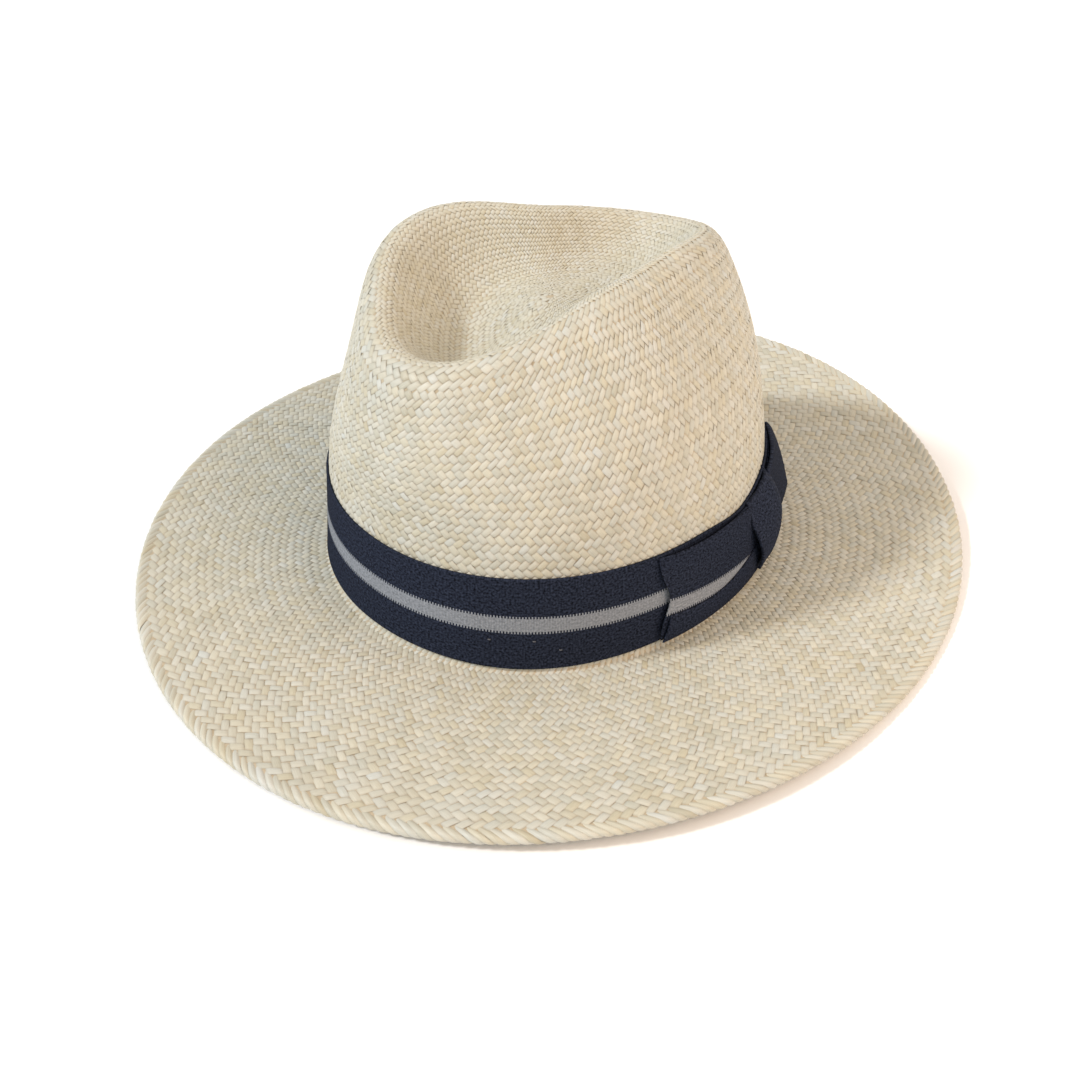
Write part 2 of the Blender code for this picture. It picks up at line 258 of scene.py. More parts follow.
# Knot: its depths in millimetres by level up it, at its front edge and where it stands out furthest
KNOT = (106.0, 122.0)
KNOT_SLANT = 3.0
KNOT_RISE = 1.8 * MM
KNOT_DROP = 1.7 * MM
KNOT_SLOPE = 2.2 * MM
KNOT_FRONT = {0: 6.2, 0.1: 7.4, 0.3: 8.4, 0.5: 7.6, 0.7: 4.8, 0.85: 3.1, 1: 2.6}
KNOT_LIMB = {0: 6.8, 0.1: 8.2, 0.35: 9.9, 0.65: 9.8, 0.8: 8.2, 0.92: 5.2, 1: 3.2}
KNOT_LIMB_SHARE = 0.7
KNOT_BACK_DROP = 2.6 * MM
KNOT_FOLDS = 0.16 * MM
KNOT_FOLD_TURNS = (1.8, 0.35)
KNOT_CLOTH = 1.4 * CLOTH
KNOT_GRID = (60, 280)

# Sweatband, sewn in along its lower edge, with its reed, small bow and label
SWEATBAND_BOTTOM = 4.6 * MM
SWEATBAND_TOP = 42.0 * MM
SWEATBAND_THICKNESS = 1.0 * MM
SWEATBAND_OUTSIDE = -(STRAW_THICKNESS + 2 * GAP)
SWEATBAND_INSIDE = SWEATBAND_OUTSIDE - SWEATBAND_THICKNESS
SWEATBAND_CURL = 0.5 * MM
SWEATBAND_LEVELS = 16
REED_RADIUS = 0.9 * MM
REED_HEIGHT = 3.0 * MM
REED_DEPTH = 3.6 * MM
REED_SIDES = 12
RING_COLUMNS = 240
SMALL_BOW = (172.0, 188.0)
SMALL_BOW_HEIGHT = 18.0 * MM
SMALL_BOW_WAIST = 2.0 * MM
SMALL_BOW_SPREAD = 3.5 * MM
SMALL_BOW_CLOTH = 1.0 * MM
SMALL_BOW_GRID = (60, 14)
LABEL = (174.5, 185.5)
LABEL_BOTTOM = 27.0 * MM
LABEL_HEIGHT = 11.0 * MM
LABEL_THICKNESS = 0.4 * MM
LABEL_GRID = (24, 12)

# Thread: the run of stitches along the sweatband, and the tacks that hold the ribbon down
STITCHES = 180
STITCH_STEPS = 8
STITCH_RISE = 0.35 * MM
STITCH_LOWEST = -0.4
STITCH_LEAN = 0.3
THREAD_RADIUS = 0.3 * MM
THREAD_HEIGHT = 8.0 * MM
THREAD_SIDES = 6
TACKS = ((31.0, 18.5 * MM), (41.0, 18.5 * MM), (47.0, 14.0 * MM))
TACK_DEGREES = 0.7
TACK_WIDTH = 0.4 * MM
TACK_FULLNESS = 0.35 * MM
TACK_THICKNESS = 0.3 * MM
TACK_ARCH = (0.1, 0.8)
TACK_GRID = (7, 5)

# Colours, and ramps of colour as (place, colour) stops
# Painted shade: a ramp from warm brown to white that darkens each float's ends and sides
PAINTED_CREVICE_SHADE_TONES = ((0.0, (0.20, 0.08, 0.0)), (1.0, (1.0, 1.0, 1.0)))
STRAW_COLOUR = (0.53, 0.51, 0.43)
STRAW_TONES = (
    (0.00, (0.42, 0.375, 0.27)),
    (0.25, (0.485, 0.455, 0.36)),
    (0.50, (0.53, 0.51, 0.43)),
    (0.70, (0.56, 0.545, 0.475)),
    (0.88, (0.57, 0.57, 0.525)),
    (1.00, (0.55, 0.52, 0.455)),
)
STRAW_HUES = (
    (0.00, (0.98, 0.96, 0.89)),
    (0.35, (0.96, 0.96, 0.94)),
    (0.65, (0.94, 0.95, 0.95)),
    (1.00, (0.90, 0.935, 0.96)),
)
# Painted shade: a darker straw colour for the layer under the floats
SHADED_COLOUR = (0.40, 0.33, 0.23)
SHADED_TONES = ((0.3, (0.38, 0.31, 0.21)), (0.7, (0.47, 0.40, 0.29)))
NAVY_COLOUR = (0.012, 0.016, 0.028)
NAVY_TONES = ((0.3, (0.002, 0.003, 0.007)), (0.7, (0.036, 0.046, 0.078)))
GREY_TONES = ((0.25, (0.16, 0.175, 0.20)), (0.75, (0.35, 0.375, 0.415)))
LEATHER_COLOUR = (0.50, 0.33, 0.18)
LEATHER_TONES = ((0.3, (0.40, 0.25, 0.13)), (0.7, (0.58, 0.40, 0.23)))
REED_TONES = ((0.2, (0.35, 0.24, 0.12)), (0.8, (0.60, 0.44, 0.26)))
LINEN_TONES = ((0.2, (0.45, 0.38, 0.26)), (0.8, (0.80, 0.74, 0.60)))
TACK_TONES = ((0.2, (0.04, 0.045, 0.055)), (0.8, (0.12, 0.12, 0.13)))
LABEL_TONES = ((0.2, (0.72, 0.70, 0.64)), (0.8, (0.88, 0.86, 0.80)))

# Straw's finish: fibres along each float and cloudy patches; and painted shade at a float's ends and sides,
# where it dips under its neighbours
FIBRE_STRETCH = (1.2, 9.0, 60.0)
FIBRE_SCALE = 1.6
PATCH_SCALE = 38.0
FIBRE_TONE = 0.36
PATCH_TONE = 0.14
FIBRE_GRAIN = 0.2
PAINTED_CREVICE_SHADE_POWER = 7.0
END_SHADE = 0.50
SIDE_SHADE = 0.28
STRAW_ROUGHNESS = (0.40, 0.22)
SHADED_SCALE = 420.0

# Finish of the ribbon, the leather and the threads, with painted light on the ribbon's ribs and painted shade
# in their furrows
RIBBON_GRAIN = (620.0, 46.0)
PAINTED_RIB_LIGHT = 1.15
FURROW_SHADE = 0.55
PEBBLE_SCALE = 900.0
CLOUD_SCALE = 60.0
LEATHER_ROUGHNESS = (0.38, 0.25)
THREAD_BANDS = 700.0
LABEL_BANDS = 1500.0
BAND_DISTORTION = 3.0

# Studio: a soft key light from the front on the wearer's right, and a warm fill on the wearer's left
FLOOR_HALF_SIZE = 4.0
FLOOR_DROP = 0.5 * MM
FLOOR_COLOUR = (0.93, 0.93, 0.93)
FLOOR_CLOUDS = 1.01
FLOOR_CLOUD_SCALE = 30.0
WORLD_COLOUR = (0.99, 0.99, 0.98)
WORLD_STRENGTH = 0.70
KEY_PLACE = (-0.52, -0.76, 0.87)
KEY_STRENGTH = 2.25
KEY_SPREAD = 8.0
KEY_COLOUR = (0.985, 0.99, 1.0)
FILL_PLACE = (0.9, 0.2, 0.8)
FILL_POWER = 9.0
FILL_SIZE = 1.0
FILL_COLOUR = (1.0, 0.70, 0.47)
LIGHT_TARGET = (0.0, 0.0, 0.06)
CAMERA_PLACE = (0.27060, -0.28105, 0.30196)
CAMERA_TURN = (0.8942, -0.0017, 0.7868)
CAMERA_LENS = 37.48
CAMERA_SENSOR = 36.0
CAMERA_NEAR = 0.01

Look = namedtuple("Look", "material slot")


# ---------------- the straw's shape


def around(values, angle):
    """A smooth closed curve through evenly spaced values, read at the given angles."""
    waves = np.fft.rfft(np.asarray(values, float)) / len(values)
    total = np.full_like(angle, waves[0].real)
    for order in range(1, len(waves)):
        share = 1 if 2 * order == len(values) else 2
        turn = order * angle
        total += share * (waves[order].real * np.cos(turn) - waves[order].imag * np.sin(turn))
    return total


def oval_radius(angle):
    across = np.abs(np.sin(angle) / HALF_WIDTH) ** OVAL_POWER
    along = np.abs(np.cos(angle) / HALF_LENGTH) ** OVAL_POWER
    return (across + along) ** (-1 / OVAL_POWER)


def from_oval(angle, offset, height):
    """Points at an offset outside the head oval, moved so that the footprint's centre is the origin."""
    step = 1e-4
    radius = oval_radius(angle)
    slope = (oval_radius(angle + step) - oval_radius(angle - step)) / (2 * step)
    sine, cosine = np.sin(angle), np.cos(angle)
    normal = np.stack([radius * sine - slope * cosine, -radius * cosine - slope * sine], -1)
    normal /= np.linalg.norm(normal, axis=-1, keepdims=True)
    offset = np.broadcast_to(offset, angle.shape)[..., None]
    flat = np.stack([radius * sine, -radius * cosine], -1) + normal * offset
    flat = flat - np.array([0.0, BRIM_BACK_EXTRA])
    height = np.broadcast_to(height, angle.shape)[..., None]
    return np.concatenate([flat, height], -1)


def from_axis(angle, radius, height):
    """Points at a distance from the crown's upright axis."""
    across = radius * np.sin(angle)
    along = -radius * np.cos(angle) - BRIM_BACK_EXTRA
    return np.stack([across, along, np.broadcast_to(height, angle.shape)], -1)


def edge_rise(angle):
    sweep = EDGE_SWEEP * (np.cos(2 * angle) - np.cos(angle))
    return sweep - EDGE_WAVE * np.cos(3 * angle)


def wall_offset(height):
    """How far the crown's lower wall stands outside the head oval at a height; below zero is inside."""
    return -WALL_LEAN * (height - BREAK_HEIGHT)


def brim_controls(angle):
    width = BRIM_WIDTH - BRIM_BACK_EXTRA * np.cos(angle) + BRIM_ENDS_EXTRA * np.cos(2 * angle)
    lowest = edge_rise(np.linspace(0, math.tau, EDGE_SAMPLES)).min()
    rise = edge_rise(angle) - lowest + BORDER_THICKNESS - BREAK_HEIGHT
    return [
        from_oval(angle, share * width, BREAK_HEIGHT + rise * share**BRIM_CURVE)
        for share in BRIM_SHARES
    ]


def wall_controls(angle):
    heights = [BREAK_HEIGHT + step for step in WALL_STEPS]
    turn = [from_oval(angle, TURN_OFFSET, BREAK_HEIGHT)]
    return turn + [from_oval(angle, wall_offset(z), z) for z in heights]


def crown_controls(angle):
    """From the upper wall over the crest and down into the dent, ending at the button."""
    crest = around(CREST_RADII, angle) * MM
    top = around(CREST_HEIGHTS, angle) * MM
    floor = around(FLOOR_HEIGHTS, angle) * MM
    wall_height = BREAK_HEIGHT + WALL_STEPS[-1]
    wall_top = oval_radius(angle) + wall_offset(wall_height)
    shoulder = crest + around(SHOULDER_WIDTHS, angle) * MM
    middle = (wall_top + shoulder) / 2 + around(WALL_BULGES, angle) * MM
    dent_wall_height = top * DENT_WALL_RISE + floor * (1 - DENT_WALL_RISE)
    rim_height = BUTTON_HEIGHT - BUTTON_DIP
    return [
        from_axis(angle, middle, (wall_height + top - SHOULDER_DROP) / 2),
        from_axis(angle, shoulder, top - SHOULDER_DROP),
        from_axis(angle, crest + CREST_OUTSIDE[0], top + CREST_OUTSIDE[1]),
        from_axis(angle, crest + CREST_INSIDE[0], top + CREST_INSIDE[1]),
        from_axis(angle, crest * DENT_WALL, dent_wall_height),
        from_axis(angle, crest * DENT_FOOT, floor),
        from_axis(angle, crest * DENT_FLOOR, (floor + rim_height) / 2),
        from_axis(angle, crest * BUTTON_RIM, rim_height),
        from_axis(angle, np.zeros_like(angle), BUTTON_HEIGHT),
    ]


def soften_crest(points, along, spans):
    """Average the table a few millimetres each way near the crest, where the straw rolls over gently."""
    low = np.maximum(np.arange(PLACES) - CREST_REACH, 0)
    high = np.minimum(np.arange(PLACES) + CREST_REACH + 1, PLACES)
    soft = points
    for _ in range(2):
        total = np.concatenate([np.zeros_like(soft[:1]), np.cumsum(soft, axis=0)])
        soft = (total[high] - total[low]) / (high - low)[:, None, None]
    weight = np.exp(-(((along - spans + CREST_SPANS) / CREST_SPREAD) ** 4))[:, None, None]
    return points * (1 - weight) + soft * weight


class StrawSurface:
    """The straw's outer side as a table of points and normals by place along it and angle round it."""

    def __init__(self):
        angle = np.arange(ANGLES) * math.tau / ANGLES
        net = np.stack(brim_controls(angle) + wall_controls(angle) + crown_controls(angle))
        net = np.concatenate([2 * net[:1] - net[1:2], net, 2 * net[-1:] - net[-2:-1]])
        self.spans = len(net) - 3
        along = np.linspace(0, self.spans, PLACES)
        span = np.minimum(along.astype(int), self.spans - 1)
        t = (along - span)[:, None, None]
        blend = ((1 - t) ** 3, 3 * t**3 - 6 * t**2 + 4, -3 * t**3 + 3 * t**2 + 3 * t + 1, t**3)
        spline = sum(weight * net[span + k] for k, weight in enumerate(blend)) / 6
        self.points = soften_crest(spline, along, self.spans)
        steps = np.linalg.norm(np.diff(self.points, axis=0), axis=-1).mean(axis=1)
        self.distance = np.concatenate([[0], np.cumsum(steps)])
        self.length = self.distance[-1]
        turned = np.roll(self.points, -1, axis=1) - np.roll(self.points, 1, axis=1)
        normals = np.cross(turned, np.gradient(self.points, axis=0))
        normals[-1] = (0, 0, 1)
        self.normals = normals / np.linalg.norm(normals, axis=-1, keepdims=True)
        self.girth = np.linalg.norm(turned, axis=-1).sum(axis=1) / 2

    def distance_at(self, control):
        """Distance from the brim's edge to a control ring."""
        return np.interp(control, np.linspace(0, self.spans, PLACES), self.distance)

    def girth_at(self, distance):
        return np.interp(distance, self.distance, self.girth)

    def at(self, angle, distance, lift):
        """Points raised from the outer side by lift, along the normal."""
        row = np.interp(distance, self.distance, np.arange(PLACES))
        row_low = np.minimum(row.astype(int), PLACES - 2)
        row_share = (row - row_low)[..., None]
        column = np.mod(angle, math.tau) / math.tau * ANGLES
        left = column.astype(int)
        column_share = (column - left)[..., None]
        left = left % ANGLES
        right = (left + 1) % ANGLES
        found = []
        for table in (self.points, self.normals):
            low = table[row_low, left] * (1 - column_share) + table[row_low, right] * column_share
            high = table[row_low + 1, left] * (1 - column_share) + table[row_low + 1, right] * column_share
            found.append(low * (1 - row_share) + high * row_share)
        point, normal = found
        return point + normal * np.broadcast_to(lift, angle.shape)[..., None]


STRAW = StrawSurface()
WEAVE_CHANGE = STRAW.distance_at(len(BRIM_SHARES) + WEAVE_CHANGE_SPANS)
CREST_DISTANCE = STRAW.distance_at(STRAW.spans - CREST_SPANS)


# ---------------- meshes


def add_mesh(name, points, faces, look, node, attributes=()):
    """A smooth mesh of quads that rides on the hat and stands for its CAD node."""
    mesh = bpy.data.meshes.new(name)
    points = np.ascontiguousarray(points.reshape(-1, 3), np.float32)
    mesh.vertices.add(len(points))
    mesh.vertices.foreach_set("co", points.ravel())
    mesh.loops.add(faces.size)
    mesh.loops.foreach_set("vertex_index", faces.astype(np.int32).ravel())
    mesh.polygons.add(len(faces))
    mesh.polygons.foreach_set("loop_start", np.arange(0, faces.size, 4, dtype=np.int32))
    mesh.update(calc_edges=True)
    for label, values in attributes:
        layer = mesh.attributes.new(label, "FLOAT_COLOR", "POINT")
        layer.data.foreach_set("color", np.ascontiguousarray(values, np.float32).ravel())
    mesh.materials.append(look.material)
    mesh.shade_smooth()
    item = bpy.data.objects.new(name, mesh)
    bpy.context.scene.collection.objects.link(item)
    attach(item, "root")
    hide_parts(node)
    return item


def grid_faces(rows, columns, closed_rows=False, closed_columns=False):
    """Quads of a grid of points, given row by row."""
    row = np.arange(rows if closed_rows else rows - 1)
    column = np.arange(columns if closed_columns else columns - 1)
    row, column = np.meshgrid(row, column, indexing="ij")
    after, beside = (row + 1) % rows, (column + 1) % columns
    corners = [
        row * columns + column,
        row * columns + beside,
        after * columns + beside,
        after * columns + column,
    ]
    return np.stack(corners, -1).reshape(-1, 4)


def repeated_faces(faces, size, count):
    """The same faces for each of many patches with an equal number of points."""
    return (faces[None] + np.arange(count)[:, None, None] * size).reshape(-1, 4)


def slab_faces(rows, columns):
    """Quads of an outer and an inner grid, joined round their borders."""
    front = grid_faces(rows, columns)
    back = rows * columns
    bottom = np.arange(columns)
    right = np.arange(1, rows) * columns + columns - 1
    top = (rows - 1) * columns + np.arange(columns - 2, -1, -1)
    left = np.arange(rows - 2, 0, -1) * columns
    border = np.concatenate([bottom, right, top, left])
    after = np.roll(border, -1)
    sides = np.stack([after, border, back + border, back + after], -1)
    return np.concatenate([front, back + front[:, ::-1], sides])


# ---------------- materials


class Graph:
    """A Principled material and short ways to add nodes to it."""

    def __init__(self, name, colour, roughness):
        self.material = bpy.data.materials.new(name)
        self.material.use_nodes = True
        self.tree = self.material.node_tree
        self.shader = self.tree.nodes["Principled BSDF"]
        self.set("Base Color", (*colour, 1))
        self.set("Roughness", roughness)

    def set(self, socket, value):
        self.shader.inputs[socket].default_value = value

    def drive(self, socket, output):
        self.tree.links.new(output, self.shader.inputs[socket])

    def node(self, kind, links=(), **settings):
        node = self.tree.nodes.new("ShaderNode" + kind)
        for key, value in settings.items():
            setattr(node, key, value)
        for socket, source in links:
            if hasattr(source, "is_output"):
                self.tree.links.new(source, node.inputs[socket])
            else:
                node.inputs[socket].default_value = source
        return node

    def attribute(self, name):
        """The three colour channels of a mesh attribute, and its alpha."""
        source = self.node("Attribute", attribute_name=name).outputs
        parts = self.node("SeparateColor", [(0, source["Color"])]).outputs
        return parts[0], parts[1], parts[2], source["Alpha"]

    def place(self):
        return self.node("TexCoord").outputs["Object"]

    def combine(self, x, y, z):
        return self.node("CombineXYZ", [(0, x), (1, y), (2, z)]).outputs[0]

    def math(self, operation, first, second=0.0):
        return self.node("Math", [(0, first), (1, second)], operation=operation).outputs[0]

    def add(self, first, second):
        return self.math("ADD", first, second)

    def subtract(self, first, second):
        return self.math("SUBTRACT", first, second)

    def times(self, first, second):
        return self.math("MULTIPLY", first, second)

    def at_ends(self, share, power):
        """0 in the middle of a share that runs from 0 to 1, and 1 at both of its ends."""
        from_middle = self.math("ABSOLUTE", self.subtract(self.times(share, 2.0), 1.0))
        return self.math("POWER", from_middle, power)

    def ramp(self, factor, stops):
        node = self.node("ValToRGB", [(0, factor)])
        while len(node.color_ramp.elements) < len(stops):
            node.color_ramp.elements.new(0.5)
        for element, (place, colour) in zip(node.color_ramp.elements, stops):
            element.position = place
            element.color = (*colour, 1)
        return node.outputs[0]

    def noise(self, vector, scale, detail=2.0):
        return self.node("TexNoise", [("Vector", vector), ("Scale", scale), ("Detail", detail)]).outputs[0]

    def mix(self, factor, first, second, blend="MIX"):
        links = [(0, factor), (6, first), (7, second)]
        return self.node("Mix", links, data_type="RGBA", blend_type=blend).outputs[2]

    def multiply(self, first, second):
        return self.mix(1.0, first, second, "MULTIPLY")

    def vary(self, socket, share, values):
        """Drive a socket from a least value by a share of a rise above it."""
        least, rise = values
        self.drive(socket, self.add(least, self.times(share, rise)))

    def grey(self, value):
        return self.node("CombineColor", [(0, value), (1, value), (2, value)]).outputs[0]

    def bump(self, height, strength, distance):
        node = self.node("Bump", [("Height", height), ("Strength", strength), ("Distance", distance)])
        self.drive("Normal", node.outputs[0])


def straw_material():
    """Split straw: each strand its own tone, with fine fibres along it, and painted shade on its ends and
    sides where it dips under its neighbours.
    """
    graph = Graph("woven_straw", STRAW_COLOUR, 0.5)
    tone, along, across, tint = graph.attribute("strand")
    stretched = [graph.times(part, stretch) for part, stretch in zip((along, across, tint), FIBRE_STRETCH)]
    fibres = graph.noise(graph.combine(*stretched), FIBRE_SCALE, 3.0)
    patches = graph.noise(graph.place(), PATCH_SCALE)
    shade = graph.add(graph.times(fibres, FIBRE_TONE), graph.times(patches, PATCH_TONE))
    tone = graph.add(tone, graph.subtract(shade, (FIBRE_TONE + PATCH_TONE) / 2))
    colour = graph.multiply(graph.ramp(tone, STRAW_TONES), graph.ramp(tint, STRAW_HUES))
    # Painted shade: each float darkened at its ends and sides, where it dips under its neighbours
    end = graph.subtract(1.0, graph.times(graph.at_ends(along, PAINTED_CREVICE_SHADE_POWER), END_SHADE))
    edge = graph.subtract(1.0, graph.times(graph.at_ends(across, PAINTED_CREVICE_SHADE_POWER), SIDE_SHADE))
    colour = graph.multiply(colour, graph.ramp(graph.times(end, edge), PAINTED_CREVICE_SHADE_TONES))
    grain = graph.grey(graph.add(1 - FIBRE_GRAIN / 2, graph.times(fibres, FIBRE_GRAIN)))
    graph.drive("Base Color", graph.multiply(colour, grain))
    graph.vary("Roughness", fibres, STRAW_ROUGHNESS)
    graph.bump(fibres, 0.35, 0.12 * MM)
    graph.set("Specular IOR Level", 0.4)
    return graph.material


def shaded_material():
    """Painted shade: a darker copy of the straw for the strands' undersides, seen through the small gaps at
    the crossings.
    """
    graph = Graph("straw_shaded", SHADED_COLOUR, 0.8)
    tone = graph.noise(graph.place(), SHADED_SCALE, 3.0)
    graph.drive("Base Color", graph.ramp(tone, SHADED_TONES))
    graph.bump(tone, 0.5, 0.3 * MM)
    return graph.material


def ribbon_material():
    """Grosgrain: near-black navy with a cool grey stripe whose edges step from rib to rib, with painted light
    on each rib's middle and painted shade in the furrows between ribs.
    """
    graph = Graph("striped_grosgrain", NAVY_COLOUR, 0.62)
    level, run, _, _ = graph.attribute("weave")
    ribs_run = graph.times(run, RIBS_PER_UNIT)
    odd_rib = graph.math("MODULO", graph.math("FLOOR", ribs_run), 2.0)
    stepped = graph.add(level, graph.times(odd_rib, STRIPE_STEP))
    above = graph.math("GREATER_THAN", stepped, STRIPE[0])
    below = graph.math("LESS_THAN", stepped, STRIPE[1])
    stretched = graph.combine(graph.times(run, RIBBON_GRAIN[0]), graph.times(level, RIBBON_GRAIN[1]), 0.0)
    threads = graph.noise(stretched, 1.0)
    navy, grey = graph.ramp(threads, NAVY_TONES), graph.ramp(threads, GREY_TONES)
    # Painted light and shade: each rib lighter in its middle and darker at the furrows between ribs
    furrow = graph.at_ends(graph.math("FRACT", ribs_run), 2.0)
    shade = graph.grey(graph.subtract(PAINTED_RIB_LIGHT, graph.times(furrow, FURROW_SHADE)))
    graph.drive("Base Color", graph.multiply(graph.mix(graph.times(above, below), navy, grey), shade))
    graph.bump(threads, 0.5, 0.12 * MM)
    graph.set("Sheen Weight", 0.02)
    graph.set("Sheen Roughness", 0.4)
    graph.set("Specular IOR Level", 0.04)
    return graph.material


def leather_material():
    graph = Graph("sweatband_leather", LEATHER_COLOUR, 0.5)
    place = graph.place()
    pebble = graph.node("TexVoronoi", [("Vector", place), ("Scale", PEBBLE_SCALE)]).outputs["Distance"]
    cloud = graph.noise(place, CLOUD_SCALE, 4.0)
    graph.drive("Base Color", graph.ramp(cloud, LEATHER_TONES))
    graph.vary("Roughness", cloud, LEATHER_ROUGHNESS)
    graph.bump(pebble, 0.35, 0.2 * MM)
    return graph.material


def thread_material(name, tones, scale=THREAD_BANDS):
    """Twisted thread or plain-woven cloth, as fine bands from dark to light."""
    graph = Graph(name, tones[-1][1], 0.7)
    links = [("Vector", graph.place()), ("Scale", scale), ("Distortion", BAND_DISTORTION)]
    twist = graph.node("TexWave", links).outputs["Fac"]
    graph.drive("Base Color", graph.ramp(twist, tones))
    graph.bump(twist, 0.5, 0.1 * MM)
    return graph.material


def paper_material():
    graph = Graph("floor_paper", FLOOR_COLOUR, 0.9)
    light = tuple(min(1.0, part * FLOOR_CLOUDS) for part in FLOOR_COLOUR)
    tone = graph.noise(graph.place(), FLOOR_CLOUD_SCALE, 3.0)
    graph.drive("Base Color", graph.ramp(tone, ((0.3, FLOOR_COLOUR), (0.7, light))))
    return graph.material


# ---------------- woven straw


def weave_rows(start, end, row_height, columns):
    """Evenly spaced half-rings as (start, end, columns), with fewer columns where the ring is shorter."""
    count = max(1, round((end - start) / row_height))
    edges = np.linspace(start, end, count + 1)
    rows = []
    for low, high in zip(edges[:-1], edges[1:]):
        girth = STRAW.girth_at((low + high) / 2)
        closest = CLOSEST_PITCH * row_height
        fitting = [n for n in columns if girth / n >= closest]
        rows.append((low, high, fitting[0] if fitting else columns[-1]))
    return rows


def strands_under(number, columns):
    """Tone and width of the strand that makes each float of a half-ring, the same all along a strand."""
    rising = number % 2 == 0
    random = np.random.default_rng(columns + (RISING_SEED if rising else FALLING_SEED))
    tone = random.random(columns)
    width = random.normal(1.0, WIDTH_SPREAD, columns)
    turn = -(number // 2) if rising else number // 2
    strand = (np.arange(columns) + turn) % columns
    return tone[strand], width[strand]


def half_ring(number, row, inside, painted_warm_light, u, v, random):
    """Points of one half-ring of floats, and each point's (tone, along, across, tint)."""
    low, high, columns = row
    strand_tone, strand_width = strands_under(number, columns)
    lean, middle = RISING if number % 2 == 0 else FALLING
    width = (FLOAT_WIDTH * strand_width)[:, None] * v / 4
    length = (FLOAT_LENGTH * random.normal(1.0, LENGTH_SPREAD, columns))[:, None] * u / 2
    twist = random.normal(0.0, TWIST_SPREAD, columns)[:, None]
    shift = random.normal(0.0, SHIFT_SPREAD, columns)[:, None]
    column = np.arange(columns)[:, None] + middle + lean * (length * (1 + twist) - width)
    distance = low + (high - low) * (0.5 + shift + length * (1 - twist) + width)
    pillow = FLOAT_LIFT * (1 - FLOAT_DIP * np.abs(u) ** DIP_POWER) - FLOAT_ROUND * v**ROUND_POWER
    lift = pillow + random.normal(0.0, LIFT_SPREAD, columns)[:, None]
    lift = lift + random.normal(0.0, TILT_SPREAD, columns)[:, None] * v
    if inside:
        lift = -STRAW_THICKNESS - lift
    points = STRAW.at(math.tau * column / columns, np.clip(distance, 0, STRAW.length), lift)
    # Painted warm light on the dent's outer side: its straw is made lighter and warmer
    tone = 0.5 + DENT_PAINTED_LIGHT_TONE * painted_warm_light + STRAND_TONE * (strand_tone - 0.5)
    tone = np.clip(tone + random.normal(0, TONE_SPREAD, columns), 0, 1)[:, None]
    tint = (1 - DENT_PAINTED_LIGHT_TINT * painted_warm_light) * random.random(columns)[:, None]
    strand = np.broadcast_arrays(tone, (u + 1) / 2, (v + 1) / 2, tint)
    return points.reshape(-1, 3), np.stack(strand, -1).reshape(-1, 4)


def add_floats(name, rows, first_number, inside, painted_warm_light, look):
    """Floats of a stretch of half-rings, as small pillows whose ends dip under their neighbours."""
    random = np.random.default_rng(first_number + INSIDE_SEED * inside)
    along, across = (INSIDE_ALONG, INSIDE_ACROSS) if inside else (OUTSIDE_ALONG, OUTSIDE_ACROSS)
    u, v = (grid.ravel() for grid in np.meshgrid(along, across, indexing="ij"))
    rising_faces = grid_faces(len(along), len(across))
    if not inside:
        rising_faces = rising_faces[:, ::-1]
    points, strands, faces = [], [], []
    start = 0
    for number, row in enumerate(rows, first_number):
        ring, strand = half_ring(number, row, inside, painted_warm_light, u, v, random)
        turned = rising_faces if number % 2 == 0 else rising_faces[:, ::-1]
        faces.append(start + repeated_faces(turned, len(u), row[2]))
        points.append(ring)
        strands.append(strand)
        start += len(ring)
    attributes = [("strand", np.concatenate(strands))]
    return add_mesh(name, np.concatenate(points), np.concatenate(faces), look, "straw_body", attributes)


def straw_base(look):
    """The layer under the floats, closed at the brim's edge."""
    angle = np.arange(BASE_COLUMNS) * math.tau / BASE_COLUMNS
    brim = np.linspace(BASE_EDGE, WEAVE_CHANGE, BASE_BRIM_RINGS)
    crown = np.linspace(WEAVE_CHANGE, STRAW.length, BASE_CROWN_RINGS)
    distances = np.concatenate([brim, crown[1:]])
    outer = [STRAW.at(angle, np.full_like(angle, d), -BASE_DEPTH) for d in distances]
    inner = [STRAW.at(angle, np.full_like(angle, d), BASE_DEPTH - STRAW_THICKNESS) for d in distances]
    rings = np.stack(inner[::-1] + outer)
    faces = grid_faces(len(rings), BASE_COLUMNS, closed_columns=True)
    return add_mesh("straw_base", rings, faces, look, "straw_body")


def border_profile():
    """Distance from the brim's edge and depth below its upper side, round the edge to its lower side."""
    radius = BORDER_THICKNESS / 2
    flat = np.linspace(BORDER_REACH, radius, BORDER_FLAT_POINTS)
    turn = np.linspace(0, math.pi, BORDER_TURN_POINTS + 2)[1:-1]
    distance = np.concatenate([flat, radius - radius * np.sin(turn), flat[::-1]])
    under = np.full_like(flat, 2 * radius)
    depth = np.concatenate([np.zeros_like(flat), radius * (1 - np.cos(turn)), under])
    return distance, depth


def border_point(angle, distance, depth, lift):
    """A point of the doubled edge: its cross-section is a flat strip with a round outer side."""
    radius = BORDER_THICKNESS / 2
    outward_share = np.clip(radius - distance, 0, None) / radius
    top = STRAW.at(angle, distance, 0.0)
    normal = STRAW.at(angle, distance, 1.0) - top
    edge = STRAW.at(angle, np.zeros_like(angle), 0.0)
    outward = edge - STRAW.at(angle, np.full_like(angle, OUTWARD_STEP), 0.0)
    outward /= np.linalg.norm(outward, axis=-1, keepdims=True)
    level = 1 - depth / radius
    direction = normal * level[..., None] + outward * outward_share[..., None]
    direction /= np.linalg.norm(direction, axis=-1, keepdims=True)
    return top - normal * depth[..., None] + direction * lift[..., None]


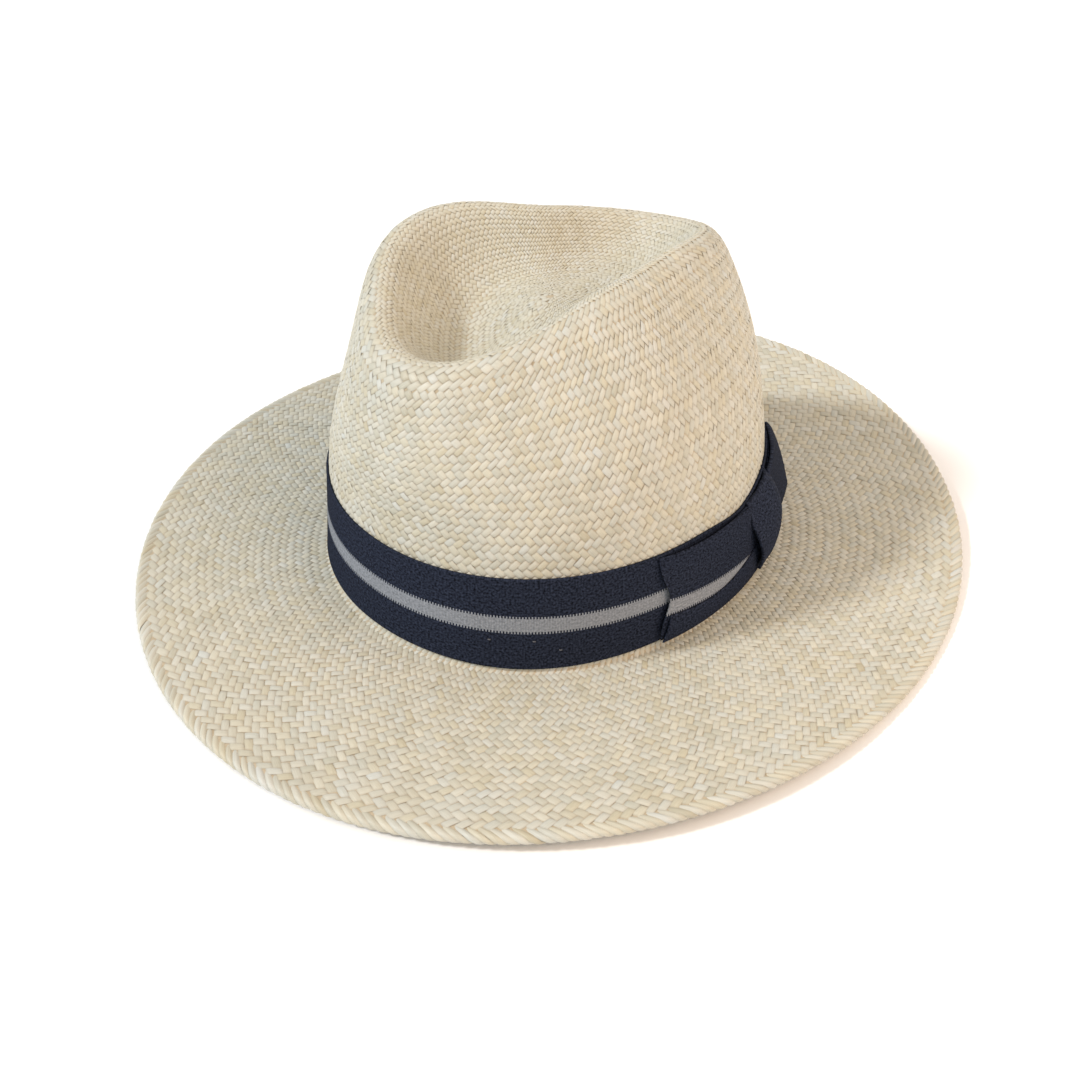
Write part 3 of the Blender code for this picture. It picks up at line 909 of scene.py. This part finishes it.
def straw_border(look):
    """The brim's ends woven back over its edge, as slanting wraps from the upper side to the lower."""
    distance, depth = border_profile()
    run = np.concatenate([[0], np.cumsum(np.hypot(np.diff(distance), np.diff(depth)))])
    run, across = np.meshgrid(run / run[-1], np.linspace(-1, 1, WRAP_COLUMNS), indexing="ij")
    distance = np.broadcast_to(distance[:, None], run.shape)
    depth = np.broadcast_to(depth[:, None], run.shape)
    ends = np.minimum(1, np.minimum(run, 1 - run) / WRAP_END_SHARE)
    pillow = WRAP_CROWN * (1 - across**2) + WRAP_DIP * (ends - 1) - WRAP_SINK
    random = np.random.default_rng(WRAP_SEED)
    wraps, strands = [], []
    for wrap in range(BORDER_WRAPS):
        width = WRAP_HALF_WIDTH * (1 + random.normal(0, WRAP_WIDTH_SPREAD))
        slant = WRAP_SLANT * (run - 0.5) + width * across
        angle = math.tau * (wrap + slant + random.normal(0, WRAP_SHIFT_SPREAD)) / BORDER_WRAPS
        lift = pillow + random.normal(0, WRAP_LIFT_SPREAD) + random.normal(0, WRAP_LIFT_SPREAD) * across
        wraps.append(border_point(angle, distance, depth, lift))
        tone = np.clip(random.normal(0.5, WRAP_TONE_SPREAD), 0, 1)
        along = WRAP_SHADE[0] + WRAP_SHADE[1] * run
        strand = np.broadcast_arrays(tone, along, (across + 1) / 2, random.random())
        strands.append(np.stack(strand, -1).reshape(-1, 4))
    faces = repeated_faces(grid_faces(*run.shape)[:, ::-1], run.size, BORDER_WRAPS)
    attributes = [("strand", np.concatenate(strands))]
    return add_mesh("straw_border", np.stack(wraps), faces, look, "straw_body", attributes)


def straw():
    """The whole hat body; the dent has finer rows, and painted warm light on its outer side that makes its
    straw lighter and warmer.
    """
    look = Look(straw_material(), "straw")
    brim = weave_rows(FIRST_ROW, WEAVE_CHANGE, ROW_HEIGHT, (BRIM_COLUMNS,))
    wall = weave_rows(WEAVE_CHANGE, CREST_DISTANCE, ROW_HEIGHT, CROWN_COLUMNS)
    dent = weave_rows(CREST_DISTANCE, STRAW.length - BUTTON_MARGIN, DENT_ROW_HEIGHT, CROWN_COLUMNS)
    fields = (
        ("straw_brim", brim, 0, 0.0),
        ("straw_crown_wall", wall, WALL_ROW_NUMBER, 0.0),
        ("straw_crown_dent", dent, WALL_ROW_NUMBER + len(wall), 1.0),
    )
    for name, rows, first_number, painted_warm_light in fields:
        add_floats(name, rows, first_number, False, painted_warm_light, look)
        add_floats(f"{name}_inside", rows, first_number, True, 0.0, look)
    straw_base(Look(shaded_material(), "straw"))
    straw_border(look)


# ---------------- ribbon and bow


def weave_values(level, angle):
    """Where each point lies in the ribbon's weave: its level across it and its run along it."""
    run = angle * HALF_LENGTH / RIB_PITCH / RIBS_PER_UNIT
    values = np.broadcast_arrays(level, run, 0.0, 1.0)
    return np.stack(values, -1).reshape(-1, 4)


def plain_level(level):
    """A level across the ribbon that folds back before it reaches the stripe."""
    return PLAIN_REACH * np.abs(np.mod(level / PLAIN_REACH, 2) - 1)


def ribs(angle):
    return RIB_DEPTH * np.cos(angle * HALF_LENGTH / RIB_PITCH * math.tau)


def bell(value, middle, spread):
    return np.exp(-(((value - middle) / spread) ** 2))


def arch(level, part):
    """Height of a sine arch over the part of it that the levels cover: its start and its length."""
    return np.sin(math.pi * (part[0] + part[1] * level))


def hatband(look):
    """The ribbon as a closed loop of levels up its outer side and down its inner side."""
    columns = COLUMNS_PER_RIB * round(math.tau * HALF_LENGTH / RIB_PITCH)
    angle = np.arange(columns) * math.tau / columns
    degrees = np.degrees(angle)
    sag = SAG * bell(degrees, SAG_ANGLE, SAG_SPREAD)
    width = RIBBON_WIDTH - SQUEEZE * bell(degrees, SQUEEZE_ANGLE, SQUEEZE_SPREAD) + sag
    outer, inner = [], []
    for level in RIBBON_LEVELS:
        height = RIBBON_BOTTOM - sag + level * width
        from_middle = abs(2 * level - 1)
        selvedge = SELVEDGE * (from_middle > SELVEDGE_LEVEL)
        slack = SLACK * np.sin(SLACK_WAVES * angle + SLACK_TWIST * level) * math.sin(math.pi * level)
        offset = wall_offset(height) + GAP + RIBBON_THICKNESS + selvedge + ribs(angle) + slack
        waver = EDGE_WAVER * np.sin(EDGE_WAVES * angle) * from_middle
        outer.append(from_oval(angle, offset, height + waver))
        inner.append(from_oval(angle, wall_offset(height) + GAP, height))
    loops = np.stack(outer + inner[::-1])
    levels = np.concatenate([RIBBON_LEVELS, RIBBON_LEVELS[::-1]])
    faces = grid_faces(len(loops), columns, closed_rows=True, closed_columns=True)
    attributes = [("weave", weave_values(levels[:, None], angle))]
    band = add_mesh("ribbon_band", loops, faces, look, "hatband", attributes)


def slab_grid(degrees, size):
    """Shares along a slab, levels up it, and angles round the hat, for a size in columns and rows."""
    share, level = np.meshgrid(*[np.linspace(0, 1, count) for count in size])
    angle = np.radians(degrees[0] + (degrees[1] - degrees[0]) * share)
    return share, level, angle


def cloth_slab(name, node, look, shape, thickness, level):
    """A cloth slab against the crown's wall, from its outer face's grids of angle, height and depth."""
    angle, height, depth = shape
    faces = (depth, depth - thickness)
    points = np.stack([from_oval(angle, wall_offset(height) + face, height) for face in faces])
    weave = weave_values(level, angle)
    attributes = [("weave", np.concatenate([weave, weave]))]
    return add_mesh(name, points, slab_faces(*angle.shape), look, node, attributes)


def bow_backing(look):
    share, level, angle = slab_grid(BACKING, BACKING_GRID)
    low = BOW_BOTTOM + BACKING_INSET
    high = BOW_TOP - BACKING_DROP + BACKING_END_RISE * share**6
    shape = (angle, low + (high - low) * level, BACKING_DEPTH + CLOTH + ribs(angle))
    item = cloth_slab("bow_backing_cloth", "bow_backing", look, shape, CLOTH, plain_level(level))


def front_panel(look):
    """The front wing's panel, which carries the stripe and has a notch in its free end."""
    share, level, angle = slab_grid(PANEL, PANEL_GRID)
    share = TUCK * share
    angle = angle + np.radians(PANEL_NOTCH) * bell(level, 0.5, PANEL_NOTCH_SPREAD) * (1 - share) ** 2
    top = BOW_TOP - PANEL_NARROWING * np.sin(math.pi / 2 * share) - PANEL_PINCH * share**8
    lifted = PANEL_FULLNESS * np.sin(math.pi * level) - PANEL_CORNER * level**3 * (1 - share) ** 6
    shape = (angle, BOW_BOTTOM + (top - BOW_BOTTOM) * level, BOW_DEPTH + CLOTH + lifted + ribs(angle))
    stripe_level = level + PANEL_STRIPE_DROP + PANEL_STRIPE_SLOPE * share
    panel = cloth_slab("bow_front_panel", "bow_front_wing", look, shape, WING_CLOTH, stripe_level)
    return panel


def front_pleat(look):
    """The pleat that folds up over the panel's lower third."""
    share, level, angle = slab_grid(PLEAT, PLEAT_GRID)
    share = TUCK * share
    angle = angle + np.radians(PLEAT_SLANT) * level * (1 - share) ** 2
    rise = PLEAT_HEIGHT + PLEAT_RISE * share - PLEAT_DIP * np.sin(math.pi * share)
    puff = PLEAT_PUFF * arch(level, PLEAT_ARCH) ** 0.8 * (1 - 0.4 * share)
    depth = BOW_DEPTH + CLOTH + PLEAT_DEPTH + puff + ribs(angle)
    shape = (angle, BOW_BOTTOM - PLEAT_DROP + rise * level, depth)
    pleat_level = PLEAT_LEVELS[0] + PLEAT_LEVELS[1] * level
    pleat = cloth_slab("bow_front_pleat", "bow_front_wing", look, shape, WING_CLOTH, pleat_level)


def rear_wing(look):
    """The loop behind the knot, thickened along its top and end so that no light shows behind it."""
    share, level, angle = slab_grid(REAR_WING, REAR_WING_GRID)
    angle = angle - np.radians(REAR_WING_SLANT) * share * (1 - level)
    low, high = BOW_BOTTOM + REAR_WING_RISE * share, BOW_TOP - REAR_WING_DROP * share
    flare = REAR_WING_FLARE * share**REAR_WING_OPENING * (1 - level) ** REAR_WING_CURL
    fullness = REAR_WING_FULLNESS * np.sin(math.pi * level)
    depth = REAR_WING_DEPTH + flare + fullness + ribs(angle)
    closing = np.maximum(level**REAR_WING_TOP_CLOSING, share**REAR_WING_END_CLOSING)
    thickness = REAR_WING_CLOTH + (depth - REAR_WING_CLOTH - BOW_DEPTH) * closing
    shape = (angle, low + (high - low) * level, depth)
    loop = cloth_slab("bow_rear_loop", "bow_rear_wing", look, shape, thickness, plain_level(level))


def knot_side(depths, level):
    """A smooth curve fitted through one side's depths, up the knot."""
    return np.polyval(np.polyfit(list(depths), list(depths.values()), 4), level) * MM


def knot(look):
    """The short length of ribbon wound round the middle of the bow, slack at its waist."""
    share, level, angle = slab_grid(KNOT, KNOT_GRID)
    angle = angle + np.radians(KNOT_SLANT) * (1 - share) * (1 - level) ** 1.5
    low = BOW_BOTTOM + KNOT_RISE
    high = BOW_TOP - KNOT_DROP + KNOT_SLOPE * share
    height = low + (high - low) * level
    blend = np.clip(share / KNOT_LIMB_SHARE, 0, 1) ** 0.8
    past_limb = np.clip((share - KNOT_LIMB_SHARE) / (1 - KNOT_LIMB_SHARE), 0, 1)
    depth = knot_side(KNOT_FRONT, level) * (1 - blend) + knot_side(KNOT_LIMB, level) * blend
    fold_turns = KNOT_FOLD_TURNS[0] * share + KNOT_FOLD_TURNS[1] * level
    folds = KNOT_FOLDS * np.cos(math.tau * fold_turns)
    cross_ribs = RIB_DEPTH * np.cos(math.tau * height / RIB_PITCH)
    depth = depth - KNOT_BACK_DROP * past_limb**2 + folds + cross_ribs
    shape = (angle, height, depth)
    item = cloth_slab("bow_knot_wrap", "bow_knot", look, shape, KNOT_CLOTH, plain_level(level))


def bow(look):
    bow_backing(look)
    panel = front_panel(look)
    front_pleat(look)
    rear_wing(look)
    knot(look)


# ---------------- sweatband and thread


def wall_ring(name, node, look, section):
    """A closed ring from a cross-section of (offset from the head oval, height) pairs."""
    angle = np.arange(RING_COLUMNS) * math.tau / RING_COLUMNS
    loops = np.stack([from_oval(angle, offset, height) for offset, height in section])
    faces = grid_faces(len(loops), RING_COLUMNS, closed_rows=True, closed_columns=True)
    return add_mesh(name, loops, faces, look, node)


def leather_band(look):
    levels = np.linspace(0, 1, SWEATBAND_LEVELS)
    heights = SWEATBAND_BOTTOM + (SWEATBAND_TOP - SWEATBAND_BOTTOM) * levels
    curl = SWEATBAND_CURL * levels**6
    outer = [(wall_offset(z) + SWEATBAND_OUTSIDE, z) for z in heights]
    inner = [(wall_offset(z) + SWEATBAND_INSIDE + c, z) for z, c in zip(heights, curl)]
    band = wall_ring("sweatband_leather", "sweatband", look, outer + inner[::-1])


def reed(look):
    turns = np.arange(REED_SIDES) * math.tau / REED_SIDES
    section = [
        (REED_RADIUS * math.cos(turn) - REED_DEPTH, REED_HEIGHT + REED_RADIUS * math.sin(turn))
        for turn in turns
    ]
    wall_ring("sweatband_reed_cord", "sweatband_reed", look, section)


def small_bow(look):
    share, level, angle = slab_grid(SMALL_BOW, SMALL_BOW_GRID)
    half = SMALL_BOW_WAIST + SMALL_BOW_SPREAD * np.abs(2 * share - 1)
    depth = np.full_like(angle, SWEATBAND_INSIDE - GAP)
    shape = (angle, SMALL_BOW_HEIGHT + half * (2 * level - 1), depth)
    item = cloth_slab("sweatband_small_bow", "sweatband_rear_bow", look, shape, SMALL_BOW_CLOTH, PLAIN_LEVEL)


def size_label(look):
    _, level, angle = slab_grid(LABEL, LABEL_GRID)
    depth = np.full_like(angle, SWEATBAND_INSIDE - GAP)
    shape = (angle, LABEL_BOTTOM + LABEL_HEIGHT * level, depth)
    tab = cloth_slab("size_label_tab", "size_label", look, shape, LABEL_THICKNESS, PLAIN_LEVEL)


def stitches(look):
    """A run of separate stitches with the thread showing through between them."""
    columns = STITCHES * STITCH_STEPS
    angle = np.arange(columns) * math.tau / columns
    rise = np.clip(np.cos(angle * STITCHES), STITCH_LOWEST, 1) * STITCH_RISE
    middle = wall_offset(THREAD_HEIGHT) + SWEATBAND_INSIDE - GAP - THREAD_RADIUS - STITCH_LEAN * rise
    loops = []
    for turn in np.arange(THREAD_SIDES) * math.tau / THREAD_SIDES:
        offset = middle + THREAD_RADIUS * math.cos(turn)
        loops.append(from_oval(angle, offset, THREAD_HEIGHT + THREAD_RADIUS * math.sin(turn)))
    faces = grid_faces(len(loops), columns, closed_rows=True, closed_columns=True)
    add_mesh("sweatband_stitch_run", np.stack(loops), faces, look, "sweatband_stitching")


def tacks(look):
    """Three short stitches that hold the ribbon to the straw, below its stripe."""
    for number, (degrees, bottom) in enumerate(TACKS, 1):
        share, level, angle = slab_grid((degrees, degrees + TACK_DEGREES), TACK_GRID)
        depth = BACKING_DEPTH + TACK_FULLNESS * arch(share, TACK_ARCH) * arch(level, TACK_ARCH)
        shape = (angle, bottom + TACK_WIDTH * level, depth)
        cloth_slab(f"tack_stitch_{number}", f"ribbon_tack_{number}", look, shape, TACK_THICKNESS, PLAIN_LEVEL)


# ---------------- studio


def studio_floor():
    size = FLOOR_HALF_SIZE
    corners = [(-size, -size, 0), (size, -size, 0), (size, size, 0), (-size, size, 0)]
    mesh = bpy.data.meshes.new("floor")
    mesh.from_pydata(corners, [], [(0, 1, 2, 3)])
    mesh.materials.append(paper_material())
    floor = bpy.data.objects.new("floor", mesh)
    floor.location.z = -FLOOR_DROP
    bpy.context.scene.collection.objects.link(floor)


def world_light():
    world = bpy.data.worlds.new("studio")
    world.use_nodes = True
    background = world.node_tree.nodes["Background"]
    background.inputs["Color"].default_value = (*WORLD_COLOUR, 1)
    background.inputs["Strength"].default_value = WORLD_STRENGTH
    bpy.context.scene.world = world


def add_light(light, place, energy, colour):
    light.energy = energy
    light.color = colour
    lamp = bpy.data.objects.new(light.name, light)
    lamp.location = place
    lamp.rotation_euler = (Vector(LIGHT_TARGET) - lamp.location).to_track_quat("-Z", "Y").to_euler()
    bpy.context.scene.collection.objects.link(lamp)


def studio():
    studio_floor()
    world_light()
    key = bpy.data.lights.new("key", "SUN")
    key.angle = math.radians(KEY_SPREAD)
    add_light(key, KEY_PLACE, KEY_STRENGTH, KEY_COLOUR)
    fill = bpy.data.lights.new("warm_fill", "AREA")
    fill.size = FILL_SIZE
    add_light(fill, FILL_PLACE, FILL_POWER, FILL_COLOUR)
    bpy.context.scene.view_settings.view_transform = "Standard"


def camera():
    lens = bpy.data.cameras.new("camera")
    lens.sensor_width = CAMERA_SENSOR
    lens.lens = CAMERA_LENS
    lens.clip_start = CAMERA_NEAR
    view = bpy.data.objects.new("camera", lens)
    view.location = CAMERA_PLACE
    view.rotation_euler = CAMERA_TURN
    bpy.context.scene.collection.objects.link(view)
    bpy.context.scene.camera = view


straw()
grosgrain = Look(ribbon_material(), "grosgrain")
hatband(grosgrain)
bow(grosgrain)
leather_band(Look(leather_material(), "leather"))
reed(Look(thread_material("reed_cord", REED_TONES), "cord"))
stitches(Look(thread_material("linen_thread", LINEN_TONES), "thread"))
small_bow(grosgrain)
size_label(Look(thread_material("label_cloth", LABEL_TONES, LABEL_BANDS), "label"))
tacks(Look(thread_material("tack_thread", TACK_TONES), "thread"))
studio()
camera()
